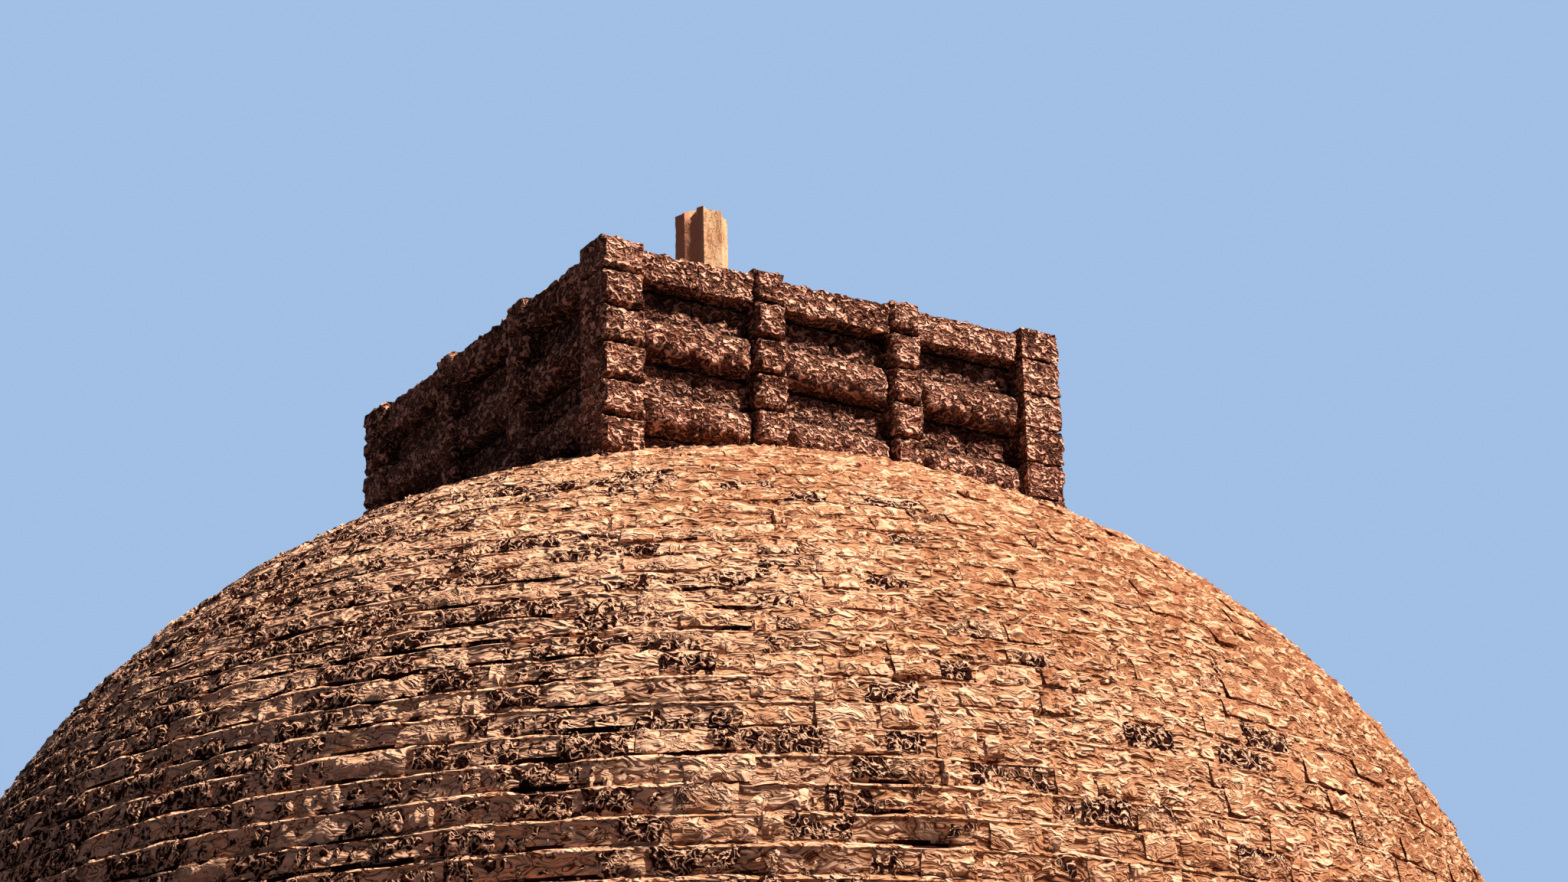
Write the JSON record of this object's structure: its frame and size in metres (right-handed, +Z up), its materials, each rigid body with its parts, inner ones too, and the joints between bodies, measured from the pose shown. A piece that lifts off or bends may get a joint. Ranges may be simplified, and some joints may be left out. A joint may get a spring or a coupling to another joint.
{
  "type": "stupa",
  "caption": "Round stone stupa: stepped base, masonry dome, and a square laterite block with a railing in relief and the stub of an octagonal shaft.",
  "frame": {"origin": "middle of the underside, on the ground", "axes": "+Z up along the dome's axis; the square block's front side faces -Y and its right side faces +X"},
  "size_m": [15.18, 15.18, 12.366],
  "materials": {
    "base_stone": "rough coursed stone with pale mortar",
    "dome_stone": "rough coursed stone with pale mortar, dark with weathering in places",
    "laterite": "very rough pitted laterite, dark reddish brown",
    "shaft_stone": "pale weathered sandstone with hollow faces"
  },
  "bodies": {
    "root": {"base_plinth": "base_stone", "terrace_wall": "base_stone", "terrace_coping": "base_stone", "basal_ring_1": "base_stone", "basal_ring_2": "base_stone", "basal_ring_3": "base_stone", "dome": "dome_stone", "block_core": "laterite", "front_cap": "laterite", "front_upper_rail": "laterite", "front_lower_rail": "laterite", "front_post_left": "laterite", "front_post_right": "laterite", "right_cap": "laterite", "right_upper_rail": "laterite", "right_lower_rail": "laterite", "right_post_left": "laterite", "right_post_right": "laterite", "back_cap": "laterite", "back_upper_rail": "laterite", "back_lower_rail": "laterite", "back_post_left": "laterite", "back_post_right": "laterite", "left_cap": "laterite", "left_upper_rail": "laterite", "left_lower_rail": "laterite", "left_post_left": "laterite", "left_post_right": "laterite", "front_left_corner_post": "laterite", "front_right_corner_post": "laterite", "back_right_corner_post": "laterite", "back_left_corner_post": "laterite", "shaft": "shaft_stone"}
  },
  "joints": []
}
